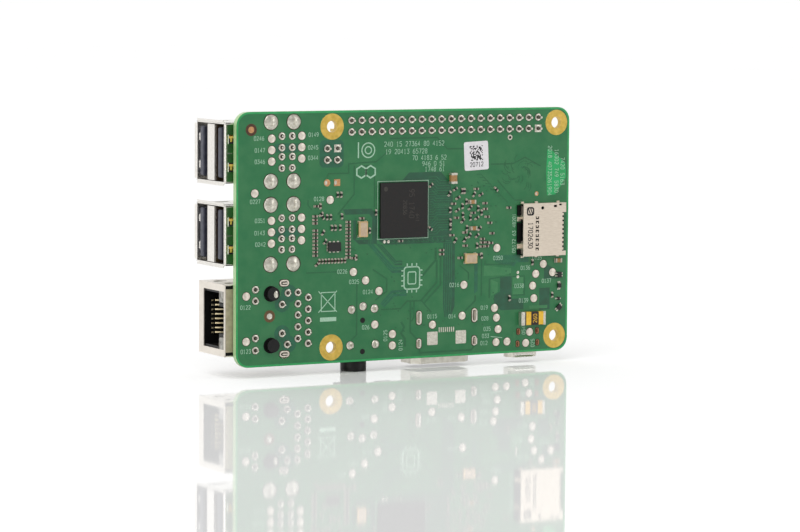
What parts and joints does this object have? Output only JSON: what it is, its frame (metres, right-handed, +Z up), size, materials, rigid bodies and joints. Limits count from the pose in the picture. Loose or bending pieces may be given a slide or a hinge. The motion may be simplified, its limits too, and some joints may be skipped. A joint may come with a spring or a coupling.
{
  "type": "single board computer",
  "caption": "Credit-card-size single board computer standing on its connector edge: soldered underside, stacked ports, pin header, card socket and pull-up cable latches.",
  "frame": {"origin": "centre of the bottom of the whole object's box: the board stands on its connector edge, on the audio jack's nose", "axes": "+Z up along the board's short side, from the HDMI edge to the pin-header edge; -X towards the USB and network sockets; -Y out of the underside, +Y out of the component side"},
  "size_m": [0.087, 0.0184, 0.0585],
  "materials": {
    "board_laminate": "glossy green solder mask",
    "black_plastic": "moulded, fine satin",
    "navy_plastic": "moulded, satin",
    "cream_plastic": "moulded, satin",
    "brown_latch": "moulded, satin",
    "bright_steel": "tin plated, semi-bright",
    "warm_steel": "nickel plated, satin",
    "gold_contact": "gold plated",
    "chip_black": "matt epoxy",
    "chip_grey": "matt epoxy",
    "silicon": "polished silicon",
    "ferrite": "matt ferrite",
    "crystal_can": "gold-tinted metal lid",
    "capacitor_tan": "ceramic",
    "fuse_yellow": "moulded",
    "lamp_red": "clear tinted lens",
    "lamp_green": "clear tinted lens",
    "lamp_amber": "clear tinted lens"
  },
  "bodies": {
    "root": {"circuit_board": "board_laminate", "gpio_header": "black_plastic", "power_header": "black_plastic", "usb_shell_1": "bright_steel", "usb_shell_2": "bright_steel", "usb_divider_1": "bright_steel", "usb_divider_2": "bright_steel", "usb_insulator_1": "navy_plastic", "usb_insulator_2": "navy_plastic", "network_shield": "warm_steel", "network_housing": "black_plastic", "network_contacts": "gold_contact", "network_transformer": "black_plastic", "network_link_lamp": "lamp_green", "network_activity_lamp": "lamp_amber", "hdmi_shell": "bright_steel", "hdmi_insulator": "black_plastic", "power_socket_shell": "bright_steel", "power_socket_insulator": "black_plastic", "audio_jack_body": "black_plastic", "audio_contact_1": "gold_contact", "audio_contact_2": "gold_contact", "audio_contact_3": "gold_contact", "audio_contact_4": "gold_contact", "camera_connector_housing": "cream_plastic", "display_connector_housing": "cream_plastic", "card_socket_cover": "warm_steel", "card_socket_base": "black_plastic", "processor_base": "board_laminate", "processor_die": "silicon", "processor_lid": "bright_steel", "wireless_shield": "bright_steel", "wireless_chip": "chip_black", "network_and_usb_controller": "chip_black", "power_management_chip": "chip_black", "usb_current_switch": "chip_black", "core_regulator": "chip_black", "power_inductor_1": "ferrite", "power_inductor_2": "ferrite", "power_inductor_3": "ferrite", "power_inductor_4": "ferrite", "controller_crystal": "crystal_can", "processor_crystal": "crystal_can", "controller_clock": "crystal_can", "usb_reservoir_capacitor": "capacitor_tan", "bulk_capacitor": "capacitor_tan", "power_led": "lamp_red", "activity_led": "lamp_green", "memory_chip": "chip_grey", "input_fuse": "fuse_yellow"},
    "camera_latch": {"camera_connector_latch": "brown_latch"},
    "display_latch": {"display_connector_latch": "brown_latch"}
  },
  "joints": [
    {"name": "camera_latch_slide", "type": "slide", "parent": "root", "child": "camera_latch", "axis": [0, 1, 0], "range_m": [0, 0.0012]},
    {"name": "display_latch_slide", "type": "slide", "parent": "root", "child": "display_latch", "axis": [0, 1, 0], "range_m": [0, 0.0012]}
  ]
}
